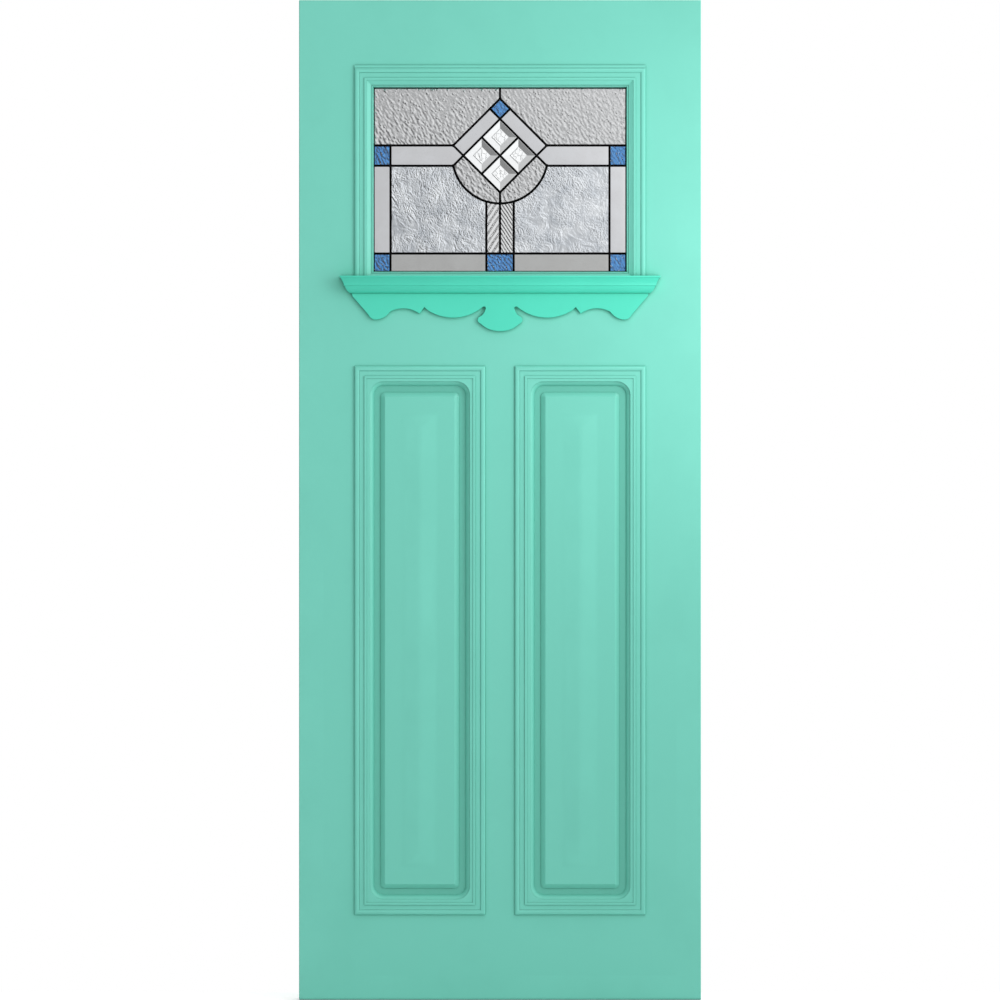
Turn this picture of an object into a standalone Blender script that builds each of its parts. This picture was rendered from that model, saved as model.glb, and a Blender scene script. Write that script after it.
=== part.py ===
"""Front door leaf: two raised and fielded panels below a leadlight window with a bracket shelf.

Metres, +Z up. The outside faces -Y. The origin is on the hinge edge, at half height.
Pieces are modelled from the middle of the leaf's bottom edge, which an empty carries.
"""
import math

import bmesh
import bpy
from mathutils import Matrix, Vector

# Gap kept between pieces that touch
TOUCH = 0.0003

# Door leaf and the widths of its stiles and rails, measured to the mouldings planted on it
LEAF_WIDTH = 0.820
LEAF_HEIGHT = 2.040
LEAF_THICKNESS = 0.040
STILE = 0.113
MUNTIN = 0.0604
TOP_RAIL = 0.1332
MIDDLE_RAIL = 0.1485
BOTTOM_RAIL = 0.1740

# Planted moulding: an outer bead, a flat band, a narrow fillet and an inner flat
BEAD_WIDTH = 0.0104
BEAD_SPRING = 0.0018
BEAD_CROWN = 0.0054
BEAD_STEPS = 5
BAND_WIDTH = 0.0098
BAND_HEIGHT = 0.0034
FILLET_WIDTH = 0.0048
FILLET_HEIGHT = 0.0054
FLAT_WIDTH = 0.0062
FLAT_HEIGHT = 0.0040
MOULDING_WIDTH = BEAD_WIDTH + BAND_WIDTH + FILLET_WIDTH + FLAT_WIDTH

# Window: the moulding there goes on inwards as a cove and a small lip, down to the glass
COVE_WIDTH = 0.0062
COVE_DROP = 0.0024
COVE_STEPS = 3
LIP_WIDTH = 0.0031
LIP_STEP = 0.0010
WINDOW_REACH = MOULDING_WIDTH + COVE_WIDTH + LIP_WIDTH
CAP_WIDTH = 0.0053
CAP_HEIGHT = 0.0030
SIGHT_HEIGHT = 0.3733
SILL_SHOW = 0.0113
REBATE = 0.0070
GLAZING_DEPTH = 0.0120

# Leadlight: lead cames and the pattern between them
CAME_FACE = 0.0044
CAME_HEART = 0.0012
CAME_HEIGHT = 0.0060
CAME_SHOW = 0.0018
GLASS_THICKNESS = 0.0036
BORDER_WIDTH = 0.0328
BOTTOM_ROW = 0.0359
UPPER_ROW = 0.0414
TOP_STEM = 0.0210
DIAMOND_HALF = 0.0749
REED_STRIP = 0.0280
BOWL_STEPS = 12
BEVEL_MARGIN = 0.0005
BEVEL_WIDTH = 0.0110
BEVEL_RISE = 0.0026

# Shelf below the window and the shaped apron under it
SHELF_OVERHANG = 0.0294
SHELF_PROJECTION = 0.0380
SHELF_LIP = 0.0030
SHELF_LIP_STEP = 0.0012
SHELF_FACE = 0.0166
SHELF_FACE_SLOPE = 0.0070
SHELF_STEP = 0.0016
SHELF_ROUND = 0.0132
SHELF_ROUND_DROP = 0.0151
SHELF_ROUND_START = math.radians(40)
SHELF_STEPS = 4
APRON_INSET = 0.0014
APRON_DROP = 0.0769
APRON_THICKNESS = 0.0110
APRON_STEPS = 7

# Routed panels: a sinking with a quirked ovolo edge, a sloped rise with a small upright step
# at its foot, and a flat field with a long hipped centre
SINKING_DEPTH = 0.0090
SINKING_OVOLO = 0.0092
SINKING_CORNER = 0.0280
SINKING_WALL_SHARE = 0.2
CHANNEL_WIDTH = 0.0130
RISE_WIDTH = 0.0092
RISE_STEP_SHARE = 0.3
FIELD_DEPTH = 0.0010
FIELD_CORNER = 0.0080
FIELD_ARRIS = 0.0004
HIP_MARGIN_SHARE = 0.446
HIP_RISE = 0.0044
RIDGE_FLAT = 0.0004
CORNER_STEPS = 5
CURVE_STEPS = 3

# Back of the leaf: plain flat panels and glazing beads
BACK_DEPTH = 0.0060
BACK_FIELD_DEPTH = 0.0020
BEAD_SLOPE = 0.0060

# How far a cutter runs past what it cuts, and a joined block runs into its ground
OVERRUN = 0.0020
# Extra width left on a moulding where the routed corner trims it
SPARE = 0.0010

PAINT = (0.167, 0.623, 0.497, 1.0)
TRIM_PAINT = (0.100, 0.680, 0.520, 1.0)
LEAD = (0.020, 0.020, 0.022, 1.0)
CLEAR_GLASS = (0.780, 0.800, 0.820, 1.0)
BLUE_GLASS = (0.070, 0.190, 0.520, 1.0)

FRONT = -LEAF_THICKNESS / 2
BACK = LEAF_THICKNESS / 2
WINDOW_HALF = LEAF_WIDTH / 2 - STILE
SIGHT_HALF = WINDOW_HALF - WINDOW_REACH
WINDOW_TOP = LEAF_HEIGHT - TOP_RAIL - CAP_WIDTH
SIGHT_TOP = WINDOW_TOP - WINDOW_REACH
SIGHT_BOTTOM = SIGHT_TOP - SIGHT_HEIGHT
SHELF_TOP = SIGHT_BOTTOM - SILL_SHOW
SHELF_BOTTOM = SHELF_TOP - SHELF_LIP - SHELF_FACE - SHELF_ROUND_DROP
SHELF_HALF = WINDOW_HALF + SHELF_OVERHANG
SHELF_TAPER = SHELF_LIP_STEP + SHELF_FACE_SLOPE + SHELF_STEP + SHELF_ROUND
APRON_HALF = SHELF_HALF - SHELF_TAPER - APRON_INSET
PANEL_TOP = SHELF_BOTTOM - MIDDLE_RAIL
PANEL_FRAME_WIDTH = (LEAF_WIDTH - 2 * STILE - MUNTIN) / 2
PANEL_FRAME_HEIGHT = PANEL_TOP - BOTTOM_RAIL
PANEL_X = (MUNTIN + PANEL_FRAME_WIDTH) / 2
FIELD_FOOT = MOULDING_WIDTH + SINKING_OVOLO + CHANNEL_WIDTH
CORNER_SPARE = SINKING_CORNER * (1 - math.cos(math.pi / 4)) + SPARE
PANEL_Z = BOTTOM_RAIL + PANEL_FRAME_HEIGHT / 2
LEAD_FRONT = FRONT + GLAZING_DEPTH
LEAD_BACK = LEAD_FRONT + CAME_HEIGHT


def clear_scene():
    for old in list(bpy.data.objects):
        bpy.data.objects.remove(old, do_unlink=True)


def new_collection(name):
    group = bpy.data.collections.new(name)
    bpy.context.scene.collection.children.link(group)
    return group


def paint_material(name, colour, roughness, metallic=0.0, transmission=0.0):
    material = bpy.data.materials.new(name)
    material.use_nodes = True
    shader = material.node_tree.nodes["Principled BSDF"]
    shader.inputs["Base Color"].default_value = colour
    shader.inputs["Roughness"].default_value = roughness
    shader.inputs["Metallic"].default_value = metallic
    shader.inputs["Transmission Weight"].default_value = transmission
    return material


clear_scene()
PARTS = new_collection("front_door")
CUTTERS = new_collection("cutters")
BASE = bpy.data.objects.new("door_base", None)
BASE.location = (LEAF_WIDTH / 2, 0, -LEAF_HEIGHT / 2)
PARTS.objects.link(BASE)
FACE_PAINT = paint_material("painted_leaf", PAINT, 0.42)
SHELF_PAINT = paint_material("painted_shelf", TRIM_PAINT, 0.40)
LEAD_METAL = paint_material("lead", LEAD, 0.55, metallic=0.6)
PLAIN_GLASS = paint_material("clear_glass", CLEAR_GLASS, 0.08, transmission=0.9)
COLOURED_GLASS = paint_material("blue_glass", BLUE_GLASS, 0.15, transmission=0.6)


def add_object(name, bm, material, group=PARTS):
    """Put a finished bmesh in the scene as one closed solid, carried by the door's base."""
    bmesh.ops.recalc_face_normals(bm, faces=bm.faces[:])
    mesh = bpy.data.meshes.new(name)
    bm.to_mesh(mesh)
    bm.free()
    if material:
        mesh.materials.append(material)
    piece = bpy.data.objects.new(name, mesh)
    piece.parent = BASE
    group.objects.link(piece)
    if group == CUTTERS:
        piece.hide_render = True
        piece.display_type = "WIRE"
    return piece


def box(low, high):
    """A box between two corners."""
    bm = bmesh.new()
    size = Vector(high) - Vector(low)
    middle = (Vector(high) + Vector(low)) / 2
    place = Matrix.Translation(middle) @ Matrix.Diagonal((*size, 1.0))
    bmesh.ops.create_cube(bm, size=1.0, matrix=place)
    return bm


def prism(outline, front, back):
    """Extrude an outline of (x, z) points from one depth to another."""
    bm = bmesh.new()
    face = bm.faces.new([bm.verts.new((x, front, z)) for x, z in outline])
    grown = bmesh.ops.extrude_face_region(bm, geom=[face])["geom"]
    moved = [item for item in grown if isinstance(item, bmesh.types.BMVert)]
    bmesh.ops.translate(bm, verts=moved, vec=(0, back - front, 0))
    return bm


def loft(rings):
    """Skin a stack of rings that have equally many points, and close both ends."""
    bm = bmesh.new()
    rows = [[bm.verts.new(point) for point in ring] for ring in rings]
    count = len(rows[0])
    for low, high in zip(rows, rows[1:]):
        for i in range(count):
            j = (i + 1) % count
            bm.faces.new((low[i], low[j], high[j], high[i]))
    bm.faces.new(rows[0])
    bm.faces.new(rows[-1])
    return bm


def rounded_rectangle(half_x, half_z, radius):
    """Outline of a rectangle about its middle, with round corners."""
    points = []
    for quarter, (sx, sz) in enumerate(((1, 1), (-1, 1), (-1, -1), (1, -1))):
        for step in range(CORNER_STEPS + 1):
            angle = math.pi / 2 * (quarter + step / CORNER_STEPS)
            x = sx * (half_x - radius) + radius * math.cos(angle)
            z = sz * (half_z - radius) + radius * math.sin(angle)
            points.append((x, z))
    return points


def arc(start, via, end, steps):
    """Points of the circular arc from start to end through via, without its start."""
    (ax, az), (bx, bz), (cx, cz) = start, via, end
    twice = 2 * (ax * (bz - cz) + bx * (cz - az) + cx * (az - bz))
    a2, b2, c2 = ax * ax + az * az, bx * bx + bz * bz, cx * cx + cz * cz
    mx = (a2 * (bz - cz) + b2 * (cz - az) + c2 * (az - bz)) / twice
    mz = (a2 * (cx - bx) + b2 * (ax - cx) + c2 * (bx - ax)) / twice
    radius = math.hypot(ax - mx, az - mz)
    first, middle, last = (math.atan2(z - mz, x - mx) for x, z in (start, via, end))
    turn = (last - first) % math.tau
    if (middle - first) % math.tau > turn:
        turn -= math.tau
    angles = [first + turn * step / steps for step in range(1, steps + 1)]
    return [(mx + radius * math.cos(t), mz + radius * math.sin(t)) for t in angles]


def inset(outline, distance):
    """Move every side of an outline inwards, and meet the sides again at its corners."""
    area = sum(a[0] * b[1] - b[0] * a[1] for a, b in zip(outline, outline[1:] + outline[:1]))
    side = 1 if area > 0 else -1
    sides = []
    for a, b in zip(outline, outline[1:] + outline[:1]):
        along = (Vector(b) - Vector(a)).normalized()
        inward = Vector((-along.y, along.x)) * side
        sides.append((Vector(a) + inward * distance, along))
    moved = []
    for (p, u), (q, v) in zip(sides[-1:] + sides[:-1], sides):
        cross = u.x * v.y - u.y * v.x
        reach = ((q - p).x * v.y - (q - p).y * v.x) / cross
        moved.append(tuple(p + u * reach))
    return moved


def cut_off(bm, point, normal):
    """Cut away what lies past a plane, and close the cut."""
    geometry = bm.verts[:] + bm.edges[:] + bm.faces[:]
    cut = bmesh.ops.bisect_plane(
        bm, geom=geometry, plane_co=point, plane_no=normal, clear_outer=True)
    edges = [item for item in cut["geom_cut"] if isinstance(item, bmesh.types.BMEdge)]
    bmesh.ops.holes_fill(bm, edges=edges)


def boolean(piece, cutter, operation):
    modifier = piece.modifiers.new(cutter.name, "BOOLEAN")
    modifier.object = cutter
    modifier.operation = operation
    modifier.solver = "EXACT"


# Door leaf

def sinking(name, x, face, inward, depth):
    """Cutter for one routed sinking, through the mouldings too: round corners, ovolo edge."""
    half_x = PANEL_FRAME_WIDTH / 2 - MOULDING_WIDTH
    half_z = PANEL_FRAME_HEIGHT / 2 - MOULDING_WIDTH
    wall = depth * SINKING_WALL_SHARE
    levels = [(0.0, -BEAD_CROWN - OVERRUN), (0.0, wall)]
    for step in range(1, CURVE_STEPS + 1):
        turn = math.pi / 2 * step / CURVE_STEPS
        inside = SINKING_OVOLO * math.sin(turn)
        levels.append((inside, wall + (depth - wall) * (1 - math.cos(turn))))
    rings = []
    for inside, deep in levels:
        outline = rounded_rectangle(half_x - inside, half_z - inside, SINKING_CORNER - inside)
        rings.append([(x + px, face + inward * deep, PANEL_Z + pz) for px, pz in outline])
    return add_object(name, loft(rings), None, CUTTERS)


def fielding(name, x, face, inward, depth, top):
    """Block left standing in a sinking: an upright step and a slope, up to the flat field."""
    half_x = PANEL_FRAME_WIDTH / 2 - FIELD_FOOT
    half_z = PANEL_FRAME_HEIGHT / 2 - FIELD_FOOT
    stepped = depth - (depth - top) * RISE_STEP_SHARE
    levels = [(0.0, depth + OVERRUN, FIELD_CORNER), (0.0, stepped, FIELD_CORNER),
              (RISE_WIDTH, top, FIELD_ARRIS)]
    rings = []
    for inside, deep, corner in levels:
        outline = rounded_rectangle(half_x - inside, half_z - inside, corner)
        rings.append([(x + px, face + inward * deep, PANEL_Z + pz) for px, pz in outline])
    return add_object(name, loft(rings), None, CUTTERS)


def hipped_centre(name, x):
    """Long shallow hipped roof that stands on the field of a front panel."""
    field_x = PANEL_FRAME_WIDTH / 2 - FIELD_FOOT - RISE_WIDTH
    field_z = PANEL_FRAME_HEIGHT / 2 - FIELD_FOOT - RISE_WIDTH
    half_x = field_x - HIP_MARGIN_SHARE * field_x
    half_z = field_z - HIP_MARGIN_SHARE * field_x
    field = FRONT + FIELD_DEPTH
    slope = half_x - RIDGE_FLAT / 2
    rings = []
    for inside, y in ((0.0, field + OVERRUN), (0.0, field), (slope, field - HIP_RISE)):
        wide, tall = half_x - inside, half_z - inside
        corners = ((-wide, -tall), (wide, -tall), (wide, tall), (-wide, tall))
        rings.append([(x + px, y, PANEL_Z + pz) for px, pz in corners])
    return add_object(name, loft(rings), None, CUTTERS)


SINKINGS = {}


def build_leaf():
    half = LEAF_WIDTH / 2
    leaf = add_object("door_leaf", box((-half, FRONT, 0), (half, BACK, LEAF_HEIGHT)), FACE_PAINT)
    wide = SIGHT_HALF + REBATE + TOUCH
    low = SIGHT_BOTTOM - REBATE - TOUCH
    high = SIGHT_TOP + REBATE + TOUCH
    opening = box((-wide, FRONT - OVERRUN, low), (wide, BACK + OVERRUN, high))
    boolean(leaf, add_object("window_opening", opening, None, CUTTERS), "DIFFERENCE")
    for side, x in (("left", -PANEL_X), ("right", PANEL_X)):
        front = sinking("front_sinking_" + side, x, FRONT, 1, SINKING_DEPTH)
        back = sinking("back_sinking_" + side, x, BACK, -1, BACK_DEPTH)
        boolean(leaf, front, "DIFFERENCE")
        boolean(leaf, back, "DIFFERENCE")
        SINKINGS[side] = front
        field = fielding("front_field_" + side, x, FRONT, 1, SINKING_DEPTH, FIELD_DEPTH)
        plain = fielding("back_field_" + side, x, BACK, -1, BACK_DEPTH, BACK_FIELD_DEPTH)
        boolean(leaf, field, "UNION")
        boolean(leaf, plain, "UNION")
        boolean(leaf, hipped_centre("hipped_centre_" + side, x), "UNION")


# Planted mouldings

def moulding_face():
    """Face of the planted moulding, as (distance in, height), from its outer edge."""
    points = []
    for step in range(BEAD_STEPS + 1):
        turn = math.pi * step / BEAD_STEPS
        along = BEAD_WIDTH / 2 * (1 - math.cos(turn))
        points.append((along, BEAD_SPRING + (BEAD_CROWN - BEAD_SPRING) * math.sin(turn)))
    band = BEAD_WIDTH + BAND_WIDTH
    fillet = band + FILLET_WIDTH
    points += [(BEAD_WIDTH, BAND_HEIGHT), (band, BAND_HEIGHT)]
    points += [(band, FILLET_HEIGHT), (fillet, FILLET_HEIGHT)]
    points += [(fillet, FLAT_HEIGHT), (MOULDING_WIDTH, FLAT_HEIGHT)]
    return points


def panel_section():
    """Section of the panel moulding, with the spare width that its round corners need."""
    points = [(0.0, TOUCH)] + moulding_face()[:-1]
    reach = MOULDING_WIDTH + CORNER_SPARE
    return points + [(reach, FLAT_HEIGHT), (reach, TOUCH)]


def window_section(cap):
    """Section of the window moulding: it laps the leaf and reaches down to the lead."""
    points = [(0.0, TOUCH)]
    if cap:
        points = [(-CAP_WIDTH, TOUCH), (-CAP_WIDTH, CAP_HEIGHT), (0.0, CAP_HEIGHT)]
    points += moulding_face()
    for step in range(1, COVE_STEPS + 1):
        turn = math.pi / 2 * step / COVE_STEPS
        along = MOULDING_WIDTH + COVE_WIDTH * math.sin(turn)
        points.append((along, FLAT_HEIGHT - COVE_DROP * (1 - math.cos(turn))))
    lip = FLAT_HEIGHT - COVE_DROP - LIP_STEP
    points += [(WINDOW_REACH - LIP_WIDTH, lip), (WINDOW_REACH, lip)]
    tongue = WINDOW_REACH - REBATE
    points += [(WINDOW_REACH, TOUCH - GLAZING_DEPTH), (tongue, TOUCH - GLAZING_DEPTH)]
    points.append((tongue, TOUCH))
    return points


def frame_bar(section, run, span, quarter, face=FRONT, outward=-1):
    """One mitred length of a frame of the given outer run and span about its middle.

    The section's distances go inwards from the outer edge, its heights off the face.
    """
    bm = bmesh.new()
    ring = [bm.verts.new((-run, face + outward * h, span / 2 - d)) for d, h in section]
    grown = bmesh.ops.extrude_face_region(bm, geom=[bm.faces.new(ring)])["geom"]
    moved = [item for item in grown if isinstance(item, bmesh.types.BMVert)]
    bmesh.ops.translate(bm, verts=moved, vec=(2 * run, 0, 0))
    for side in (-1, 1):
        corner = Vector((side * (run / 2 - TOUCH / math.sqrt(2)), 0, span / 2))
        cut_off(bm, corner, Vector((side, 0, -1)))
    bmesh.ops.rotate(bm, verts=bm.verts[:], matrix=Matrix.Rotation(quarter * math.pi / 2, 3, "Y"))
    return bm


def frame_sides(wide, tall):
    """Name, run and span of the four lengths of a frame, clockwise from its top."""
    return (("top", wide, tall), ("right", tall, wide),
            ("bottom", wide, tall), ("left", tall, wide))


def build_panel_mouldings():
    section = panel_section()
    for panel, x in (("left", -PANEL_X), ("right", PANEL_X)):
        sides = frame_sides(PANEL_FRAME_WIDTH, PANEL_FRAME_HEIGHT)
        for quarter, (side, run, span) in enumerate(sides):
            bm = frame_bar(section, run, span, quarter)
            piece = add_object("%s_panel_moulding_%s" % (panel, side), bm, FACE_PAINT)
            piece.location = (x, 0, PANEL_Z)
            boolean(piece, SINKINGS[panel], "DIFFERENCE")


def build_window_mouldings():
    wide = 2 * WINDOW_HALF
    tall = SIGHT_HEIGHT + 2 * WINDOW_REACH
    middle = (SIGHT_TOP + SIGHT_BOTTOM) / 2
    shelf = Vector((0, 0, SHELF_TOP + TOUCH - middle))
    top = frame_bar(window_section(True), wide, tall, 0)
    for side in (-1, 1):
        cut_off(top, Vector((side * wide / 2, 0, 0)), Vector((side, 0, 0)))
    add_object("window_moulding_top", top, FACE_PAINT).location = (0, 0, middle)
    section = window_section(False)
    for quarter, side in ((1, "right"), (3, "left")):
        bm = frame_bar(section, tall, wide, quarter)
        cut_off(bm, shelf, Vector((0, 0, -1)))
        add_object("window_moulding_" + side, bm, FACE_PAINT).location = (0, 0, middle)
    sill = frame_bar(section, wide, tall, 2)
    cut_off(sill, shelf, Vector((0, 0, -1)))
    add_object("window_sill_bead", sill, FACE_PAINT).location = (0, 0, middle)


def build_back_beads():
    """Plain sloped beads that hold the leadlight in from the back of the leaf."""
    deep = BACK - LEAD_BACK - TOUCH
    section = [(0.0, -deep), (0.0, 0.0), (REBATE - BEAD_SLOPE, 0.0), (REBATE, -BEAD_SLOPE),
               (REBATE, -deep)]
    sides = frame_sides(2 * (SIGHT_HALF + REBATE), SIGHT_HEIGHT + 2 * REBATE)
    for quarter, (side, run, span) in enumerate(sides):
        bm = frame_bar(section, run, span, quarter, BACK, 1)
        piece = add_object("glazing_bead_" + side, bm, FACE_PAINT)
        piece.location = (0, 0, (SIGHT_TOP + SIGHT_BOTTOM) / 2)


# Shelf and apron

def build_shelf():
    """Moulded shelf whose section returns on its two ends."""
    levels = [(0.0, 0.0), (SHELF_LIP, 0.0)]
    for step in range(SHELF_STEPS + 1):
        share = step / SHELF_STEPS
        back = SHELF_LIP_STEP + SHELF_FACE_SLOPE * math.sin(math.pi / 2 * share)
        levels.append((SHELF_LIP + SHELF_FACE * share, back))
    foot = SHELF_LIP + SHELF_FACE
    nose = SHELF_LIP_STEP + SHELF_FACE_SLOPE + SHELF_STEP
    first = SHELF_ROUND_START
    for step in range(SHELF_STEPS + 1):
        turn = first + (math.pi / 2 - first) * step / SHELF_STEPS
        inside = (math.cos(first) - math.cos(turn)) / math.cos(first)
        down = (math.sin(turn) - math.sin(first)) / (1 - math.sin(first))
        levels.append((foot + SHELF_ROUND_DROP * down, nose + SHELF_ROUND * inside))
    wall = FRONT - TOUCH
    rings = []
    for down, inside in levels:
        half, front = SHELF_HALF - inside, FRONT - SHELF_PROJECTION + inside
        z = SHELF_TOP - down
        rings.append([(-half, wall, z), (half, wall, z), (half, front, z), (-half, front, z)])
    add_object("window_shelf", loft(rings), SHELF_PAINT)


def apron_outline():
    """Outline of the shaped board: shares of its half length and of its drop."""
    turns = (
        ((0.080, 0.940), (0.132, 0.800)), ((0.151, 0.709), (0.136, 0.618)),
        ((0.111, 0.533), (0.099, 0.429)), ((0.101, 0.358), (0.116, 0.358)),
        ((0.298, 0.642), (0.487, 0.449)), (None, (0.511, 0.364)), (None, (0.544, 0.536)),
        ((0.662, 0.398), (0.745, 0.490)), ((0.785, 0.637), (0.841, 0.694)),
        ((0.868, 0.663), (0.887, 0.572)), (None, (0.990, 0.104)), ((0.998, 0.060), (1.0, 0.0)))
    half = [(0.0, -APRON_DROP)]
    for via, end in turns:
        end = (end[0] * APRON_HALF, -end[1] * APRON_DROP)
        if via:
            via = (via[0] * APRON_HALF, -via[1] * APRON_DROP)
            half += arc(half[-1], via, end, APRON_STEPS)
        else:
            half.append(end)
    return half + [(-x, z) for x, z in reversed(half[1:])]


def build_apron():
    top = SHELF_BOTTOM - TOUCH
    outline = [(x, top + z) for x, z in apron_outline()]
    front = FRONT - TOUCH - APRON_THICKNESS
    add_object("shelf_apron", prism(outline, front, FRONT - TOUCH), SHELF_PAINT)


# Leadlight

def bowl_arc(radius, start_x, end_x):
    """Points of the bowl's curve under the diamond, from one x to another."""
    first = math.atan2(-math.sqrt(radius ** 2 - start_x ** 2), start_x)
    last = math.atan2(-math.sqrt(radius ** 2 - end_x ** 2), end_x)
    steps = max(2, round(BOWL_STEPS * abs(last - first) / (math.pi / 3)))
    angles = [first + (last - first) * step / steps for step in range(steps + 1)]
    return [(radius * math.cos(t), radius * math.sin(t)) for t in angles]


def glass_outlines():
    """Outlines between the middles of the cames, about the middle of the diamond.

    Returns (name, outline, kind) for every piece of glass.
    """
    a, r, s = DIAMOND_HALF, UPPER_ROW / 2, REED_STRIP
    knee, apex = a + r, a + 2 * r
    bowl = math.hypot(knee, r)
    edge = SIGHT_HALF + CAME_SHOW
    column = SIGHT_HALF - BORDER_WIDTH
    top = apex + TOP_STEM + CAME_SHOW
    middle = SIGHT_TOP - TOP_STEM - apex
    foot = SIGHT_BOTTOM - CAME_SHOW - middle
    row = SIGHT_BOTTOM + BOTTOM_ROW - middle
    half = a / 2
    pieces = [
        ("top_diamond", [(0, apex), (r, a + r), (0, a), (-r, a + r)], "blue"),
        ("bottom_centre", [(-s, row), (s, row), (s, foot), (-s, foot)], "blue"),
    ]
    for name, x, z in (("top", 0, half), ("left", -half, 0), ("right", half, 0),
                       ("bottom", 0, -half)):
        square = [(x, z + half), (x + half, z), (x, z - half), (x - half, z)]
        pieces.append(("bevel_" + name, square, "bevel"))
    left = [
        ("hammered_top", [(-edge, top), (0, top), (0, apex), (-knee, r), (-edge, r)], "clear"),
        ("diagonal_bar", [(-r, a + r), (0, a), (-a, 0), (-knee, r)], "clear"),
        ("upper_bar", [(-column, r), (-knee, r), (-a, 0), (-knee, -r), (-column, -r)], "clear"),
        ("upper_corner", [(-edge, r), (-column, r), (-column, -r), (-edge, -r)], "blue"),
        ("side_bar", [(-edge, -r), (-column, -r), (-column, row), (-edge, row)], "clear"),
        ("lower_corner", [(-edge, row), (-column, row), (-column, foot), (-edge, foot)], "blue"),
        ("bottom_bar", [(-column, row), (-s, row), (-s, foot), (-column, foot)], "clear"),
        ("bowl", [(-a, 0), (0, -a)] + bowl_arc(bowl, 0, -knee), "clear"),
        ("reeded_strip", bowl_arc(bowl, -s, 0) + [(0, row), (-s, row)], "clear"),
        ("wispy_panel",
         [(-column, -r)] + bowl_arc(bowl, -knee, -s) + [(-s, row), (-column, row)], "clear"),
    ]
    for name, outline, kind in left:
        pieces.append((name + "_left", outline, kind))
        mirrored = [(-x, z) for x, z in reversed(outline)]
        pieces.append((name + "_right", mirrored, kind))
    return [(n, [(x, z + middle) for x, z in points], kind) for n, points, kind in pieces]


def joined(name, blocks):
    """Gather several separate blocks as one cutter."""
    whole = bmesh.new()
    for block in blocks:
        mesh = bpy.data.meshes.new(name)
        bmesh.ops.recalc_face_normals(block, faces=block.faces[:])
        block.to_mesh(mesh)
        block.free()
        whole.from_mesh(mesh)
        bpy.data.meshes.remove(mesh)
    return add_object(name, whole, None, CUTTERS)


def build_leadlight():
    pieces = glass_outlines()
    groove = CAME_HEIGHT / 2 - GLASS_THICKNESS / 2 - TOUCH
    wide = SIGHT_HALF + REBATE
    low, high = SIGHT_BOTTOM - REBATE, SIGHT_TOP + REBATE
    slab = box((-wide, LEAD_FRONT, low), (wide, LEAD_BACK, high))
    came = add_object("lead_came", slab, LEAD_METAL)
    windows, slots = [], []
    for _, outline, _ in pieces:
        seen = inset(outline, CAME_FACE / 2)
        held = inset(outline, CAME_HEART / 2)
        windows.append(prism(seen, LEAD_FRONT - OVERRUN, LEAD_BACK + OVERRUN))
        slots.append(prism(held, LEAD_FRONT + groove, LEAD_BACK - groove))
    boolean(came, joined("came_windows", windows), "DIFFERENCE")
    boolean(came, joined("came_slots", slots), "DIFFERENCE")
    front = LEAD_FRONT + groove + TOUCH
    for name, outline, kind in pieces:
        cut = inset(outline, CAME_HEART / 2 + TOUCH)
        if kind == "bevel":
            show = (CAME_FACE - CAME_HEART) / 2 - TOUCH + BEVEL_MARGIN
            bm = bevelled_square(cut, front, show)
        else:
            bm = prism(cut, front, front + GLASS_THICKNESS)
        material = COLOURED_GLASS if kind == "blue" else PLAIN_GLASS
        add_object("glass_" + name, bm, material)


def bevelled_square(outline, front, show):
    """Thick square of glass whose edges are ground down in a wide bevel on the front."""
    back = front + GLASS_THICKNESS
    levels = ((0.0, back), (0.0, front), (show, front), (show + BEVEL_WIDTH, front - BEVEL_RISE))
    rings = []
    for inside, y in levels:
        ring = inset(outline, inside) if inside else outline
        rings.append([(x, y, z) for x, z in ring])
    return loft(rings)


build_leaf()
build_panel_mouldings()
build_window_mouldings()
build_back_beads()
build_shelf()
build_apron()
build_leadlight()
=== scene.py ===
# %% [markdown]
# # A painted front door with a leadlight window
# This file dresses the door's solids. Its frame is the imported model: one leaf, planted mouldings,
# a shelf with a shaped apron, a lead lattice and the glass in it. All but the beads at the back
# is built again here with a finer section, in the same places, and every piece gets a finish.

import math

import bmesh
import bpy
from mathutils import Matrix, Vector


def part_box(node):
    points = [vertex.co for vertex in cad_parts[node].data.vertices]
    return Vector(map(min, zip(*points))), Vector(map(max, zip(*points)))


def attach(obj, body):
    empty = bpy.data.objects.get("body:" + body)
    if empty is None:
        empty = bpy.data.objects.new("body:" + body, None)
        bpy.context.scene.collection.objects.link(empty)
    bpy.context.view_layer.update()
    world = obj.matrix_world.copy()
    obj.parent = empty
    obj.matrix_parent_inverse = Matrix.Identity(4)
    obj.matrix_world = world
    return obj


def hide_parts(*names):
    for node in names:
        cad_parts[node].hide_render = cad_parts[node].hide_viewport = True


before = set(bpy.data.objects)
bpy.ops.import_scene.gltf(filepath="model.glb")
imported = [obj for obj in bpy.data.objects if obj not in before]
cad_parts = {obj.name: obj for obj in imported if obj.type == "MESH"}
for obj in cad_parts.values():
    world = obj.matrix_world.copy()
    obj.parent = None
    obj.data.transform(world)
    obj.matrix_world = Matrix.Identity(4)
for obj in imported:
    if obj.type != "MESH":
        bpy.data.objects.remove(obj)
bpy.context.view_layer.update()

# %% [markdown]
# ## Where things are
# The frame says where each piece lies, so the places below are read from its boxes. Only what a
# box can't tell, such as the parts of a moulding's section, is a size written in this file.
# The door stands in the XZ plane and its outside faces -Y.

# %% Read the door's main places
LEAF_LOW, LEAF_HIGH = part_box("door_leaf")
FRONT, BACK = LEAF_LOW.y, LEAF_HIGH.y
MIDDLE = (LEAF_LOW.x + LEAF_HIGH.x) / 2
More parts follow.
